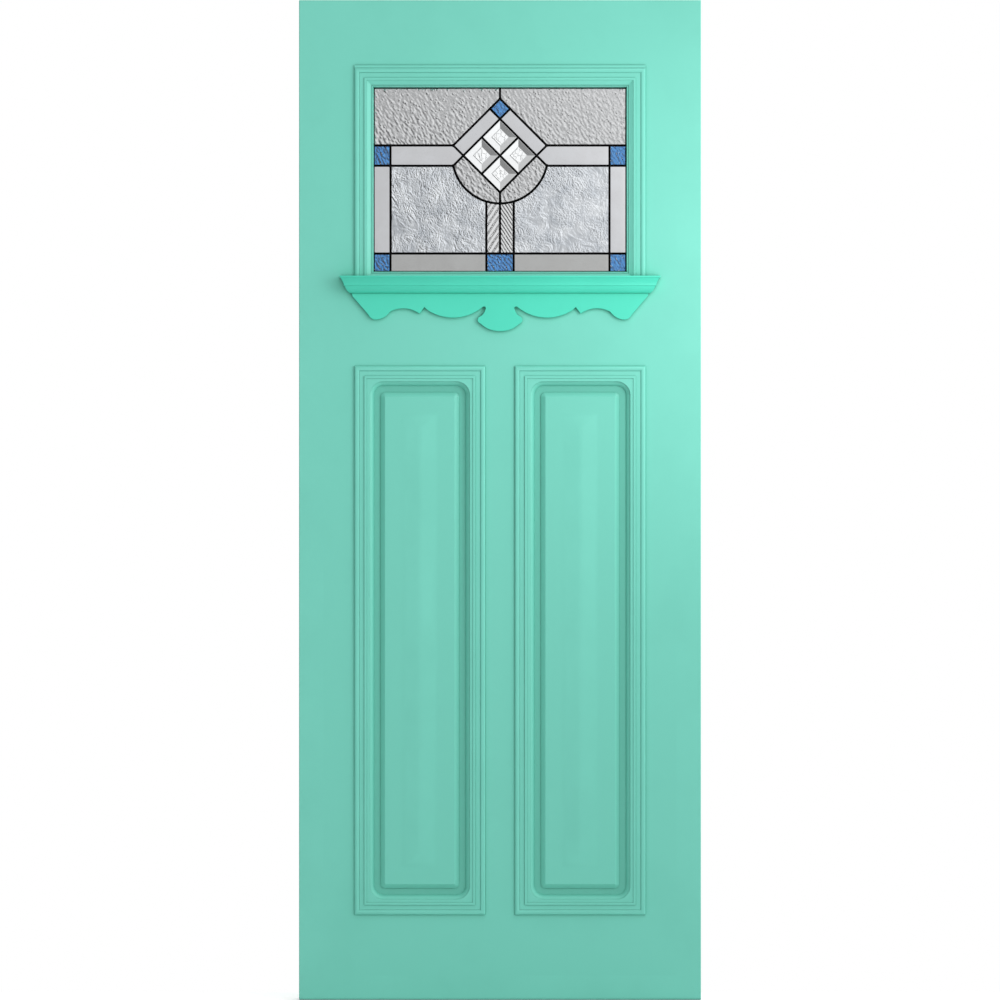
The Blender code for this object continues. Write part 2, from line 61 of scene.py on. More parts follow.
# Neighbours stand TOUCH apart, and the lead's edge is hidden by as much as REBATE
TOUCH = 0.0003
REBATE = 0.0070
LEAD_LOW, LEAD_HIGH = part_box("lead_came")
SIGHT_LOW = LEAD_LOW + Vector((REBATE, 0, REBATE))
SIGHT_HIGH = LEAD_HIGH - Vector((REBATE, 0, REBATE))


def joint_box(*nodes):
    """Lowest and highest corner of several nodes together."""
    corners = [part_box(node) for node in nodes]
    low = Vector([min(pair[0][axis] for pair in corners) for axis in range(3)])
    high = Vector([max(pair[1][axis] for pair in corners) for axis in range(3)])
    return low, high


print("leaf", [round(c, 3) for c in LEAF_HIGH - LEAF_LOW])
print("sight of the window", [round(c, 4) for c in SIGHT_HIGH - SIGHT_LOW])

# %% [markdown]
# ## Colours and nodes
# Colours are written as sRGB hex values, as a paint chart gives them, and one function turns them
# into the linear values that the shaders need. One small helper adds a node and feeds it.

# %% Helpers for materials
def linear(code):
    """Linear RGBA of an sRGB hex colour such as #75D3C1."""
    shares = [int(code[i:i + 2], 16) / 255 for i in (1, 3, 5)]
    bent = [c / 12.92 if c <= 0.04045 else ((c + 0.055) / 1.055) ** 2.4 for c in shares]
    return (*bent, 1.0)


def feed(node, **inputs):
    """Give inputs of a node, by name or as _number, a value or a socket to link."""
    for name, value in inputs.items():
        number = name[1:]
        socket = node.inputs[int(number) if number.isdigit() else name.replace("_", " ")]
        if isinstance(value, bpy.types.NodeSocket):
            node.id_data.links.new(value, socket)
        else:
            socket.default_value = value


def add_node(tree, kind, settings=None, **inputs):
    """Add a node. Settings are its own options, and inputs are fed to it."""
    node = tree.nodes.new("ShaderNode" + kind)
    for option, value in (settings or {}).items():
        setattr(node, option, value)
    feed(node, **inputs)
    return node


def new_material(name):
    """An empty material with a Principled shader, and its tree."""
    material = bpy.data.materials.new(name)
    material.use_nodes = True
    return material, material.node_tree, material.node_tree.nodes["Principled BSDF"]


MM = 0.001
print("a patch of paint in linear values:", [round(c, 3) for c in linear("#75D3C1")[:3]])

# %% [markdown]
# ## Satin enamel on timber
# The door is timber with a sprayed and brushed satin enamel. Close to, such paint has a fine
# orange peel, faint strokes along the grain, and pigment that is a little deeper in some places.
# On open faces the colour is nearly even, so the mottle there is kept to a few per cent. The
# sinkings of the panels are darker in the photograph than their shape and the light explain, so
# shade is painted into the colour: it darkens with depth in them, and more still in tight corners.

# %% Make the paints
ORANGE_PEEL = 1.6 * MM
STROKE_WIDTH = 2.2 * MM
STROKE_LENGTH = 120 * MM
CLOUD = 180 * MM
MOTTLE = 0.08
CORNER_SHADE_REACH = 9 * MM
CORNER_SHADE_FULL = 0.35
CORNER_SHADE_NONE = 0.88
SUNK_FROM = FRONT - 1.0 * MM
SUNK_TO = FRONT + 8.0 * MM
SINKING_SHADE_SHARE = 0.36
EDGE_BAND = 50 * MM
PEEL_DEPTH = 0.06 * MM
STROKE_DEPTH = 0.05 * MM
ENAMEL_IOR = 1.46
ENAMEL_SPECULAR = 0.42


def satin_enamel(name, colour, deep, along, corner_shade_share):
    """Satin enamel whose brush strokes run along X or Z, with shade painted into hollows and
    sinkings.
    """
    material, tree, shader = new_material(name)
    place = add_node(tree, "TexCoord").outputs["Object"]
    across, length = 1 / STROKE_WIDTH, 1 / STROKE_LENGTH
    stretch = (length, across, across) if along == "X" else (across, across, length)
    mapped = add_node(tree, "Mapping", Vector=place, Scale=stretch)
    strokes = add_node(tree, "TexNoise", Vector=mapped.outputs[0], Scale=1.0, Detail=3.0)
    peel = add_node(tree, "TexNoise", Vector=place, Scale=1 / ORANGE_PEEL, Detail=2.0)
    cloud = add_node(tree, "TexNoise", Vector=place, Scale=1 / CLOUD, Detail=4.0, Roughness=0.6)
    # Painted shade: a tight corner is darkened in the colour, as shade falls there
    hollow = add_node(tree, "AmbientOcclusion", {"samples": 6}, Distance=CORNER_SHADE_REACH)
    closed = add_node(tree, "MapRange", Value=hollow.outputs["AO"], From_Min=CORNER_SHADE_FULL,
                      From_Max=CORNER_SHADE_NONE, To_Min=corner_shade_share, To_Max=0.0)
    # And painted shade in a sinking, the darker the deeper it goes
    spot = add_node(tree, "SeparateXYZ", Vector=place)
    painted_sinking_shade = add_node(tree, "MapRange", Value=spot.outputs["Y"], From_Min=SUNK_FROM,
                    From_Max=SUNK_TO, To_Min=0.0, To_Max=SINKING_SHADE_SHARE)
    # The painted shade stays in the sinkings: not on the leaf's edges, and not on its back
    centred = add_node(tree, "VectorMath", {"operation": "SUBTRACT"}, _0=place,
                       _1=(LEAF_LOW + LEAF_HIGH) / 2)
    away = add_node(tree, "VectorMath", {"operation": "ABSOLUTE"}, _0=centred.outputs[0])
    reach = add_node(tree, "SeparateXYZ", Vector=away.outputs[0])
    half = (LEAF_HIGH - LEAF_LOW) / 2
    for value, bound in ((reach.outputs["X"], half.x - EDGE_BAND),
                         (reach.outputs["Z"], half.z - EDGE_BAND),
                         (spot.outputs["Y"], SUNK_TO + 2 * MM)):
        within = add_node(tree, "Math", {"operation": "LESS_THAN"}, _0=value, _1=bound)
        painted_sinking_shade = add_node(tree, "Math", {"operation": "MULTIPLY"}, _0=painted_sinking_shade.outputs[0],
                        _1=within.outputs[0])
    painted_shade = add_node(tree, "Math", {"operation": "MAXIMUM"}, _0=closed.outputs[0],
                        _1=painted_sinking_shade.outputs[0])
    mottle = add_node(tree, "MapRange", Value=cloud.outputs[0], From_Min=0.35, From_Max=0.65,
                      To_Min=0.0, To_Max=MOTTLE)
    # The colour darkens by the painted shade or by the random mottle, whichever is more
    depth = add_node(tree, "Math", {"operation": "MAXIMUM", "use_clamp": True},
                     _0=painted_shade.outputs[0], _1=mottle.outputs[0])
    tint = add_node(tree, "Mix", {"data_type": "RGBA"}, _0=depth.outputs[0],
                    _6=linear(colour), _7=linear(deep))
    sheen = add_node(tree, "MapRange", Value=strokes.outputs[0], From_Min=0.3, From_Max=0.7,
                     To_Min=0.38, To_Max=0.5)
    fine = add_node(tree, "Bump", Strength=0.12, Distance=PEEL_DEPTH, Height=peel.outputs[0])
    brushed = add_node(tree, "Bump", Strength=0.10, Distance=STROKE_DEPTH,
                       Height=strokes.outputs[0], Normal=fine.outputs[0])
    feed(shader, Base_Color=tint.outputs[2], Roughness=sheen.outputs[0],
         Normal=brushed.outputs[0], IOR=ENAMEL_IOR, Specular_IOR_Level=ENAMEL_SPECULAR)
    return material


# The darker colour serves both the random mottle and the painted shade; the shelf takes little
# painted corner shade
LEAF_ENAMEL = satin_enamel("satin_enamel_sprayed_on_timber", "#78D5C2", "#3A9480", "Z", 1.0)
RAIL_ENAMEL = satin_enamel("satin_enamel_brushed_on_mouldings", "#78D5C2", "#3A9480", "X", 1.0)
SHELF_ENAMEL = satin_enamel("satin_enamel_brushed_on_shelf", "#50DABE", "#259078", "X", 0.05)
print("paints:", LEAF_ENAMEL.name, RAIL_ENAMEL.name, SHELF_ENAMEL.name)

# %% [markdown]
# ## Lead came
# Came is drawn lead, an H section that grips the glass on both sides. New lead is silver grey,
# and it is blackened with a patina and rubbed with cement, so it ends nearly black and dull.

# %% Make the lead and the solder
LEAD_MOTTLE = 6 * MM
LEAD_PITS = 0.15 * MM
LEAD_SPECULAR = 0.03


def patinated(name, dark, light, rough):
    """Blackened soft metal: dull, uneven, with a rubbed and lighter bloom."""
    material, tree, shader = new_material(name)
    place = add_node(tree, "TexCoord").outputs["Object"]
    bloom = add_node(tree, "TexNoise", Vector=place, Scale=1 / LEAD_MOTTLE, Detail=5.0,
                     Roughness=0.65)
    share = add_node(tree, "MapRange", Value=bloom.outputs[0], From_Min=0.45, From_Max=0.75)
    tint = add_node(tree, "Mix", {"data_type": "RGBA"}, _0=share.outputs[0],
                    _6=linear(dark), _7=linear(light))
    bump = add_node(tree, "Bump", Strength=0.35, Distance=LEAD_PITS, Height=bloom.outputs[0])
    feed(shader, Base_Color=tint.outputs[2], Normal=bump.outputs[0], Roughness=rough,
         Specular_IOR_Level=LEAD_SPECULAR)
    return material


LEAD = patinated("lead_came_blackened", "#030303", "#0C0C0D", 0.7)
SOLDER = patinated("solder_blackened", "#050505", "#141416", 0.45)
print("metals:", LEAD.name, SOLDER.name)

# %% [markdown]
# ## Building with insets
# A joiner reads a moulding as steps across and steps up. The same reading drives `inset_region`:
# each step moves the edge of a face inwards by its width and lifts it by its rise, and the mitres
# at the corners come by themselves. Round stretches are quarter turns of several small steps.

# %% Helpers for shapes
MERGE = 0.01 * MM
FLAT_BREADTH = 2.5 * MM
FLAT_BEND = math.radians(1)
CORNER_STEPS = 14


def as_mesh(bm, name, outwards=True):
    """Turn a bmesh into a mesh, with its faces turned outwards unless told otherwise."""
    if outwards:
        bmesh.ops.recalc_face_normals(bm, faces=bm.faces[:])
    mesh = bpy.data.meshes.new(name)
    bm.to_mesh(mesh)
    bm.free()
    return mesh


def place_object(name, data):
    """Put an object with the given data into the scene."""
    item = bpy.data.objects.new(name, data)
    bpy.context.scene.collection.objects.link(item)
    return item


def keep(name, bm, material, slot, *nodes, smooth=30):
    """Turn a finished bmesh into a piece that rides on the door and stands for CAD nodes."""
    bmesh.ops.remove_doubles(bm, verts=bm.verts[:], dist=MERGE)
    keep_mesh(name, as_mesh(bm, name), material, slot, *nodes, smooth=smooth)


def breadth(face):
    """How broad a face is across its longest side."""
    return face.calc_area() / max(edge.calc_length() for edge in face.edges)


def sharpen(mesh, angle):
    """Smooth the rounds, but keep arrises and the rims of broad flat faces sharp."""
    bm = bmesh.new()
    bm.from_mesh(mesh)
    broad = {face: breadth(face) > FLAT_BREADTH for face in bm.faces}
    for face in bm.faces:
        face.smooth = True
    for edge in bm.edges:
        if edge.is_manifold:
            bend = edge.calc_face_angle()
            flat = any(broad[face] for face in edge.link_faces)
            edge.smooth = bend < (FLAT_BEND if flat else angle)
    bm.to_mesh(mesh)
    bm.free()


def keep_mesh(name, mesh, material, slot, *nodes, smooth=30):
    """Show a mesh as a piece with smooth rounds, sharp arrises and its own finish."""
    sharpen(mesh, math.radians(smooth))
    mesh.materials.clear()
    mesh.materials.append(material)
    piece = place_object(name, mesh)
    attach(piece, "root")
    if nodes:
        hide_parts(*nodes)
    print(name, len(mesh.polygons), "faces")


def plane(wide, tall, cells=(1, 1)):
    """A level face of the given size round the origin, in one or more cells."""
    bm = bmesh.new()
    bmesh.ops.create_grid(bm, x_segments=cells[0], y_segments=cells[1], size=0.5)
    bmesh.ops.scale(bm, vec=(wide, tall, 1), verts=bm.verts[:])
    return bm


def board(middle_x, middle_z, width, height, y, facing=-1, corner=0.0):
    """One upright face of the given size, looking at -Y or +Y, with round corners if asked."""
    bm = plane(width, height)
    if corner:
        bmesh.ops.bevel(bm, geom=bm.verts[:], offset=corner, affect="VERTICES",
                        segments=CORNER_STEPS, profile=0.5, material=-1)
    turn = Matrix.Rotation(math.radians(90) * -facing, 4, "X")
    bmesh.ops.transform(bm, matrix=turn, verts=bm.verts[:])
    bmesh.ops.translate(bm, vec=(middle_x, y, middle_z), verts=bm.verts[:])
    bm.faces.ensure_lookup_table()
    return bm, bm.faces[0]


def block(low, high):
    """A closed block between two corners."""
    bm = bmesh.new()
    place = Matrix.Translation((Vector(low) + Vector(high)) / 2)
    bulk = Matrix.Diagonal((*(Vector(high) - Vector(low)), 1))
    bmesh.ops.create_cube(bm, size=1.0, matrix=place @ bulk)
    return bm


def work(bm, face, section):
    """Work a section into a face, given as steps (across, up) from its edge inwards."""
    for across, up in section:
        bmesh.ops.inset_region(bm, faces=[face], thickness=across, depth=up,
                               use_even_offset=True, use_boundary=True)


def quarter(width, rise, steps, steep_first):
    """Steps of a quarter round. A bead goes up steep first, and comes down steep last."""
    turns = [math.pi / 2 * step / steps for step in range(steps + 1)]
    if steep_first:
        points = [(width * (1 - math.cos(t)), rise * math.sin(t)) for t in turns]
    else:
        points = [(width * math.sin(t), rise * (1 - math.cos(t))) for t in turns]
    return [(b[0] - a[0], b[1] - a[1]) for a, b in zip(points, points[1:])]


def new_items(grown, kind=bmesh.types.BMVert):
    """The vertices, or the items of another kind, that an extrusion has made."""
    return [item for item in grown["geom"] if isinstance(item, kind)]


def carve(mesh, cutters, operation):
    """Cut cutters from a mesh, or join them to it, and return the new mesh."""
    body = place_object("body", mesh)
    tools = []
    for bm in cutters:
        tool = place_object("cutter", as_mesh(bm, "cutter"))
        change = body.modifiers.new("carve", "BOOLEAN")
        change.object = tool
        change.operation = operation
        change.solver = "EXACT"
        tools.append(tool)
    view = bpy.context.evaluated_depsgraph_get()
    carved = bpy.data.meshes.new_from_object(body.evaluated_get(view))
    for old in [body, *tools]:
        bpy.data.objects.remove(old)
    return carved


print("quarter round of 4 steps:", [tuple(round(v, 3) for v in s) for s in quarter(1, 1, 4, True)])

# %% [markdown]
# ## The moulding's section
# One moulding runs round the window and both panels: an outer bead, a flat band, a narrow raised
# fillet and an inner flat. Small rounds stand at the fillet's edges, because paint never leaves
# a sharp arris and a round edge catches a line of light.

# %% Write the moulding as steps
BEAD_WIDTH = 10.4 * MM
BEAD_SPRING = 1.8 * MM
BEAD_CROWN = 5.4 * MM
BAND_WIDTH = 9.8 * MM
BAND_HEIGHT = 3.4 * MM
FILLET_WIDTH = 4.8 * MM
FILLET_HEIGHT = 5.4 * MM
FLAT_WIDTH = 6.2 * MM
FLAT_HEIGHT = 4.0 * MM
MOULDING_WIDTH = BEAD_WIDTH + BAND_WIDTH + FILLET_WIDTH + FLAT_WIDTH
ROUND = 0.4 * MM
HAIR = 0.02 * MM
ROUND_STEPS = 4
BEAD_STEPS = 10


def edge_up(rise):
    """A wall that goes up and turns over a small round."""
    return [(HAIR, rise - ROUND)] + quarter(ROUND, ROUND, ROUND_STEPS, True)


def edge_down(fall):
    """A small round that turns into a wall going down."""
    return quarter(ROUND, -ROUND, ROUND_STEPS, False) + [(HAIR, ROUND - fall)]


def across(steps):
    """How far some steps reach across."""
    return sum(step[0] for step in steps)


bead_rise = BEAD_CROWN - BEAD_SPRING
MOULDING = [(HAIR, BEAD_SPRING - TOUCH)]
MOULDING += quarter(BEAD_WIDTH / 2 - HAIR, bead_rise, BEAD_STEPS, True)
MOULDING += quarter(BEAD_WIDTH / 2, -bead_rise, BEAD_STEPS, False)
MOULDING += [(HAIR, BAND_HEIGHT - BEAD_SPRING)]
fillet_up = edge_up(FILLET_HEIGHT - BAND_HEIGHT)
fillet_down = edge_down(FILLET_HEIGHT - FLAT_HEIGHT)
MOULDING += [(BAND_WIDTH - HAIR, 0)] + fillet_up
MOULDING += [(FILLET_WIDTH - across(fillet_up) - across(fillet_down), 0)] + fillet_down
print("moulding is", round(across(MOULDING) / MM, 2), "mm wide to the fillet's foot, in",
      len(MOULDING), "steps")

# %% [markdown]
# ## The routed panels
# A router cuts each sinking: an ovolo with round corners, a flat channel, then a small step and
# a slope up to the field. A front field has a long shallow hipped centre, like a roof seen from
# above, with its lines softened by sanding. The sinking runs through the planted moulding too,
# which rounds the moulding's inner corners. Here the sinkings are cutters, taken from the leaf
# and the mouldings, and the fields and their hips are blocks that are joined to the leaf.

# %% Sizes of the panels
SINKING_DEPTH = 9.0 * MM
SINKING_OVOLO = 9.2 * MM
SINKING_CORNER = 28.0 * MM
OVOLO_START = math.radians(25)
OVOLO_END = math.radians(75)
CHANNEL_WIDTH = 13.0 * MM
RISE_WIDTH = 9.2 * MM
RISE_STEP_SHARE = 0.3
FIELD_DEPTH = 1.0 * MM
FIELD_CORNER = RISE_WIDTH + 0.4 * MM
HIP_MARGIN_SHARE = 0.446
HIP_RISE = 4.4 * MM
HIP_SOFT = 7.0 * MM
HIP_STEPS = 6
CREST = 0.2 * MM
SLIVER = 0.01 * MM
BACK_DEPTH = 6.0 * MM
BACK_FIELD_DEPTH = 2.0 * MM
OVERRUN = 2.0 * MM
CURVE_STEPS = 9
FRAMES = {}
for side in ("left", "right"):
    names = [side + "_panel_moulding_" + part for part in ("top", "right", "bottom", "left")]
    FRAMES[side] = (*joint_box(*names), names)
    low, high = FRAMES[side][:2]
    print(side, "frame", [round(c, 4) for c in (high - low)])


def close_behind(bm, depth, facing):
    """Close an open worked face into a block by drawing its rim straight back."""
    rim = [edge for edge in bm.edges if edge.is_boundary]
    if depth:
        grown = bmesh.ops.extrude_edge_only(bm, edges=rim)
        bmesh.ops.translate(bm, verts=new_items(grown), vec=(0, -facing * depth, 0))
    bmesh.ops.holes_fill(bm, edges=[edge for edge in bm.edges if edge.is_boundary])


def framed(side, inset):
    """Middle and size, in X and Z, of what lies an inset inside the outline of a panel's frame."""
    low, high = FRAMES[side][:2]
    middle = (low + high) / 2
    return middle.x, middle.z, high.x - low.x - 2 * inset, high.z - low.z - 2 * inset


def sinking(side, facing):
    """Cutter of a sinking, from above the mouldings down to the channel."""
    front = facing < 0
    depth, face = (SINKING_DEPTH, FRONT) if front else (BACK_DEPTH, BACK)
    top = (FLAT_HEIGHT if front else 0.0) + SLIVER
    bm, bottom = board(*framed(side, MOULDING_WIDTH - ROUND), face + facing * top, facing,
                       SINKING_CORNER + ROUND)
    steps = quarter(ROUND, -ROUND, ROUND_STEPS, False)
    steps += [(0.0, -(top - ROUND))]
    turns = [OVOLO_START + (OVOLO_END - OVOLO_START) * (n + 0.5) / CURVE_STEPS
             for n in range(CURVE_STEPS)]
    run, fall = sum(map(math.cos, turns)), sum(map(math.sin, turns))
    steps += [(SINKING_OVOLO * math.cos(turn) / run, -depth * math.sin(turn) / fall)
              for turn in turns]
    work(bm, bottom, steps)
    close_behind(bm, -(BEAD_CROWN + OVERRUN), facing)
    return bm


def fielding(side, facing):
    """Block that stands in a sinking: a small step and a slope up to the flat field."""
    front = facing < 0
    depth, face = (SINKING_DEPTH, FRONT) if front else (BACK_DEPTH, BACK)
    bm, upper = board(*framed(side, MOULDING_WIDTH + SINKING_OVOLO + CHANNEL_WIDTH),
                      face - facing * depth, facing, FIELD_CORNER)
    rise = depth - (FIELD_DEPTH if front else BACK_FIELD_DEPTH)
    foot = RISE_STEP_SHARE * rise
    work(bm, upper, edge_up(foot) + [(RISE_WIDTH - across(edge_up(foot)), rise - foot)])
    close_behind(bm, OVERRUN, facing)
    return bm


def hip(side):
    """Long shallow hipped centre of a front panel."""
    foot = MOULDING_WIDTH + SINKING_OVOLO + CHANNEL_WIDTH + RISE_WIDTH
    x, z, width, height = framed(side, foot)
    margin = HIP_MARGIN_SHARE * width
    bm, upper = board(x, z, width - margin, height - margin, FRONT + FIELD_DEPTH)
    run = (width - margin) / 2 - CREST
    pitch = HIP_RISE / (run - HIP_SOFT)
    soft = [(HIP_SOFT / HIP_STEPS, pitch * HIP_SOFT / HIP_STEPS * (n + 0.5) / HIP_STEPS)
            for n in range(HIP_STEPS)]
    straight = run - 2 * HIP_SOFT
    work(bm, upper, soft + [(straight, pitch * straight)] + soft[::-1])
    close_behind(bm, OVERRUN, -1)
    return bm


# %% Build the leaf
LEAF_ARRIS = 1.6 * MM
bm = block(LEAF_LOW, LEAF_HIGH)
bmesh.ops.bevel(bm, geom=bm.edges[:], offset=LEAF_ARRIS, affect="EDGES", segments=3,
                profile=0.5, material=-1)
opening = block((LEAD_LOW.x - TOUCH, FRONT - OVERRUN, LEAD_LOW.z - TOUCH),
                (LEAD_HIGH.x + TOUCH, BACK + OVERRUN, LEAD_HIGH.z + TOUCH))
cutters = [opening] + [sinking(side, facing) for side in FRAMES for facing in (-1, 1)]
blocks = [fielding(side, facing) for side in FRAMES for facing in (-1, 1)]
blocks += [hip(side) for side in FRAMES]
leaf_mesh = carve(carve(as_mesh(bm, "leaf"), cutters, "DIFFERENCE"), blocks, "UNION")
keep_mesh("leaf_stiles_rails_and_panels", leaf_mesh, LEAF_ENAMEL, "leaf_paint", "door_leaf")

# %% [markdown]
# ## Planted mouldings
# The mouldings come off a spindle moulder in lengths, are mitred and pinned, and the mitres are
# filled and painted over. So each frame is one continuous piece here, with the same section all
# round, and the routed sinking trims its inner edge.

# %% Build the two panel frames
for side in FRAMES:
    bm, face = board(*framed(side, 0), FRONT - TOUCH)
    work(bm, face, MOULDING)
    close_behind(bm, 0.0, -1)
    mesh = carve(as_mesh(bm, "frame"), [sinking(side, -1)], "DIFFERENCE")
    keep_mesh(side + "_panel_moulding", mesh, RAIL_ENAMEL, "leaf_paint", *FRAMES[side][2])

# %% [markdown]
# ## The window's surround
# Round the window the same moulding goes on inwards as a slope, a small quirk and a lip, and
# turns down to the lead, a line of which shows. It is worked all round as one frame, then sawn
# off along the top of the shelf, which leaves the short sill bead between its legs. One thin
# extra strip crowns its upper edge.

# %% Build the window's surround
SIGHT_MIDDLE = (SIGHT_LOW + SIGHT_HIGH) / 2
SIGHT_SIZE = SIGHT_HIGH - SIGHT_LOW
REACH = SIGHT_LOW.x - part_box("window_moulding_left")[0].x
LIP_WIDTH = 4.6 * MM
LIP_STEP = 0.2 * MM
SLOPE_DROP = 4.8 * MM
SLOPE_FLAT = 0.6 * MM
LEAD_SHOW = 1.5 * MM
QUIRK = 1.2 * MM
QUIRK_DEPTH = 1.0 * MM
SIGHT_SPLAY = 1.4 * MM
SIGHT_SPLAY_DEPTH = 4.5 * MM
CAP_HEIGHT = 3.0 * MM
SHELF_LOW, SHELF_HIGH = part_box("window_shelf")


def ease(bm, width, over=40, segments=2, chosen=None):
    """Round the arrises sharper than an angle, as sandpaper and paint do."""
    bmesh.ops.remove_doubles(bm, verts=bm.verts[:], dist=0.000005)
    bmesh.ops.recalc_face_normals(bm, faces=bm.faces[:])
    sharp = [edge for edge in bm.edges
             if edge.is_manifold and edge.calc_face_angle() > math.radians(over)]
    if chosen:
        sharp = [edge for edge in sharp if chosen(edge)]
    bmesh.ops.bevel(bm, geom=sharp, offset=width, affect="EDGES", segments=segments,
                    profile=0.5, material=-1, clamp_overlap=True)


def saw(bm, point, normal):
    """Saw off what lies past a plane and close the cut."""
    cut = bmesh.ops.bisect_plane(bm, geom=bm.verts[:] + bm.edges[:] + bm.faces[:],
                                 plane_co=point, plane_no=normal, clear_outer=True)
    rim = [item for item in cut["geom_cut"] if isinstance(item, bmesh.types.BMEdge)]
    bmesh.ops.holes_fill(bm, edges=rim)


def grow_rim(bm, rim, share_x, share_z, lift):
    """Draw an open rim outwards about the window's middle, or along the door's depth."""
    grown = bmesh.ops.extrude_edge_only(bm, edges=rim)
    moved = new_items(grown)
    centre = Matrix.Translation((-SIGHT_MIDDLE.x, 0, -SIGHT_MIDDLE.z))
    bmesh.ops.scale(bm, vec=(share_x, 1, share_z), space=centre, verts=moved)
    bmesh.ops.translate(bm, vec=(0, lift, 0), verts=moved)
    return new_items(grown, bmesh.types.BMEdge)


bm, face = board(SIGHT_MIDDLE.x, SIGHT_MIDDLE.z, SIGHT_SIZE.x + 2 * REACH,
                 SIGHT_SIZE.z + 2 * REACH, FRONT - TOUCH)
flat = [(SLOPE_FLAT, 0)]
slope = [(REACH - across(MOULDING + flat) - LIP_WIDTH - QUIRK, -SLOPE_DROP)]
slope += [(HAIR, -QUIRK_DEPTH), (QUIRK - 2 * HAIR, 0), (HAIR, QUIRK_DEPTH)]
lip = [(HAIR, -LIP_STEP)]
reveal_top = FLAT_HEIGHT - SLOPE_DROP - LIP_STEP
to_lead = LEAD_LOW.y - TOUCH - FRONT + reveal_top
rest = REACH - LEAD_SHOW - across(MOULDING + flat + slope + lip) - SIGHT_SPLAY - HAIR
splay = [(SIGHT_SPLAY, -SIGHT_SPLAY_DEPTH)]
work(bm, face, MOULDING + flat + slope + lip + [(rest, 0)] + splay
     + [(HAIR, SIGHT_SPLAY_DEPTH - to_lead)])
inner_rim = list(face.edges)
bmesh.ops.delete(bm, geom=[face], context="FACES_ONLY")
outer_rim = [edge for edge in bm.edges if edge.is_boundary and edge not in inner_rim]
share_x = (SIGHT_SIZE.x + 2 * REBATE) / (SIGHT_SIZE.x + 2 * LEAD_SHOW)
share_z = (SIGHT_SIZE.z + 2 * REBATE) / (SIGHT_SIZE.z + 2 * LEAD_SHOW)
inner_rim = grow_rim(bm, inner_rim, share_x, share_z, 0)
inner_rim = grow_rim(bm, inner_rim, 1, 1, FRONT - LEAD_LOW.y)
bmesh.ops.bridge_loops(bm, edges=inner_rim + outer_rim)
bmesh.ops.recalc_face_normals(bm, faces=bm.faces[:])
saw(bm, (0, 0, SHELF_HIGH.z + TOUCH), (0, 0, -1))
cap_low, cap_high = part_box("window_moulding_top")
cap = block((cap_low.x, FRONT - TOUCH - CAP_HEIGHT, SIGHT_HIGH.z + REACH),
            (cap_high.x, FRONT - TOUCH, cap_high.z))
ease(cap, ROUND)
bm.from_mesh(as_mesh(cap, "cap", outwards=False))
keep("window_surround", bm, RAIL_ENAMEL, "leaf_paint", "window_moulding_top",
     "window_moulding_left", "window_moulding_right", "window_sill_bead")

# %% [markdown]
# ## The shelf
# The shelf's section returns on both ends. A joiner could run the section round a board twice as
# deep and saw it along the wall, and the same is done here: insets go down round a doubled plan,
# and one cut along the wall leaves the shelf with its returns.

# %% Build the shelf
SHELF_LIP = 3.0 * MM
SHELF_LIP_STEP = 1.2 * MM
SHELF_FACE = 16.6 * MM
SHELF_FACE_SLOPE = 7.0 * MM
SHELF_STEP = 1.6 * MM
SHELF_ROUND = 13.2 * MM
SHELF_ROUND_START = math.radians(40)
SHELF_STEPS = 12
SHELF_EASE = 0.6 * MM
drop = SHELF_HIGH.z - SHELF_LOW.z - SHELF_LIP - SHELF_FACE
wall = SHELF_HIGH.y
projection = wall - SHELF_LOW.y
bm = plane(SHELF_HIGH.x - SHELF_LOW.x, 2 * projection)
bmesh.ops.rotate(bm, matrix=Matrix.Rotation(math.pi, 3, "X"), verts=bm.verts[:])
bmesh.ops.translate(bm, vec=(MIDDLE, wall, SHELF_HIGH.z), verts=bm.verts[:])
bm.faces.ensure_lookup_table()
under = bm.faces[0]
steps = [(0.0, SHELF_LIP), (SHELF_LIP_STEP, 0.0)]
steps += [(SHELF_FACE_SLOPE * (math.sin(math.pi / 2 * (n + 1) / SHELF_STEPS)
                               - math.sin(math.pi / 2 * n / SHELF_STEPS)),
           SHELF_FACE / SHELF_STEPS) for n in range(SHELF_STEPS)]
steps.append((SHELF_STEP, 0.0))
turns = [SHELF_ROUND_START + (math.pi / 2 - SHELF_ROUND_START) * n / SHELF_STEPS
         for n in range(SHELF_STEPS + 1)]
wide, deep = math.cos(SHELF_ROUND_START), 1 - math.sin(SHELF_ROUND_START)
steps += [(SHELF_ROUND * (math.cos(a) - math.cos(b)) / wide,
           drop * (math.sin(b) - math.sin(a)) / deep) for a, b in zip(turns, turns[1:])]
work(bm, under, steps)
bmesh.ops.holes_fill(bm, edges=[edge for edge in bm.edges if edge.is_boundary])
saw(bm, (0, wall, 0), (0, 1, 0))
ease(bm, SHELF_EASE, over=35, segments=3)
keep("shelf_board", bm, SHELF_ENAMEL, "shelf_paint", "window_shelf")

# %% [markdown]
# ## The shaped apron
# The apron is a thin board cut with a fretsaw to a line of ogees, scrolls and small steps, the
# same on both halves. Its outline is written as arcs through three points, in shares of the
# board's half length and drop, and its sawn front arris is rounded with sandpaper.

# %% Build the apron
APRON_LOW, APRON_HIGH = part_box("shelf_apron")
APRON_STEPS = 14
APRON_EASE = 1.3 * MM
TURNS = (
    ((0.080, 0.940), (0.132, 0.800)), ((0.151, 0.709), (0.136, 0.618)),
    ((0.111, 0.533), (0.099, 0.429)), ((0.101, 0.358), (0.116, 0.358)),
    ((0.298, 0.642), (0.487, 0.449)), (None, (0.511, 0.364)), (None, (0.544, 0.536)),
    ((0.662, 0.398), (0.745, 0.490)), ((0.785, 0.637), (0.841, 0.694)),
    ((0.868, 0.663), (0.887, 0.572)), (None, (0.990, 0.104)), ((0.998, 0.060), (1.0, 0.0)))


